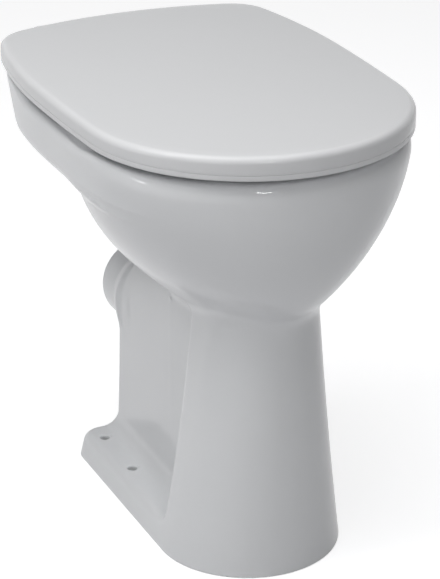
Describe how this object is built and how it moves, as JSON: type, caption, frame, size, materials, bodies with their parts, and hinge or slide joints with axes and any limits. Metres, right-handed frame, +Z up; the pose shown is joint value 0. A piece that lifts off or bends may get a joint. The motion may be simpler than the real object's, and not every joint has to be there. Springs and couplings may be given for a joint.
{
  "type": "toilet pan",
  "caption": "Floor-standing toilet pan on a waisted pedestal, with a hinged seat ring and a wrap-over lid, a horizontal outlet and a flush inlet at the back.",
  "frame": {"origin": "on the floor, under the middle of the part's overall length and width", "axes": "+Z up, -Y towards the front of the bowl, +X to the right of someone who faces the front"},
  "size_m": [0.36, 0.53, 0.505],
  "materials": {
    "vitreous_china": "glossy glaze",
    "seat_thermoset": "gloss",
    "hinge_chrome": "polished",
    "pin_steel": "turned",
    "grey_rubber": "matt",
    "white_rubber": "matt",
    "nut_plastic": "moulded",
    "bush_plastic": "moulded"
  },
  "bodies": {
    "pan": {"ceramic_pan": "vitreous_china", "hinge_bracket_left": "hinge_chrome", "hinge_bracket_right": "hinge_chrome", "bracket_pad_left": "grey_rubber", "bracket_pad_right": "grey_rubber", "hinge_pin_left": "pin_steel", "hinge_pin_right": "pin_steel", "pin_clip_left": "pin_steel", "pin_clip_right": "pin_steel", "seat_bolt_left": "pin_steel", "seat_bolt_right": "pin_steel", "bolt_sleeve_left": "grey_rubber", "bolt_sleeve_right": "grey_rubber", "bolt_washer_left": "pin_steel", "bolt_washer_right": "pin_steel", "wing_nut_left": "nut_plastic", "wing_nut_right": "nut_plastic"},
    "seat": {"seat_ring": "seat_thermoset", "seat_bush_left": "bush_plastic", "seat_bush_right": "bush_plastic", "seat_buffer_front_left": "white_rubber", "seat_buffer_front_right": "white_rubber", "seat_buffer_rear_left": "white_rubber", "seat_buffer_rear_right": "white_rubber"},
    "lid": {"lid": "seat_thermoset", "lid_bush_left": "bush_plastic", "lid_bush_right": "bush_plastic", "lid_buffer_front_left": "white_rubber", "lid_buffer_front_right": "white_rubber", "lid_buffer_rear_left": "white_rubber", "lid_buffer_rear_right": "white_rubber"}
  },
  "joints": [
    {"name": "seat_hinge", "type": "hinge", "parent": "pan", "child": "seat", "pos_m": [0, 0.257, 0.491], "axis": [-1, 0, 0], "range_deg": [0, 93]},
    {"name": "lid_hinge", "type": "hinge", "parent": "seat", "child": "lid", "pos_m": [0, 0.257, 0.491], "axis": [-1, 0, 0], "range_deg": [0, 95]}
  ]
}
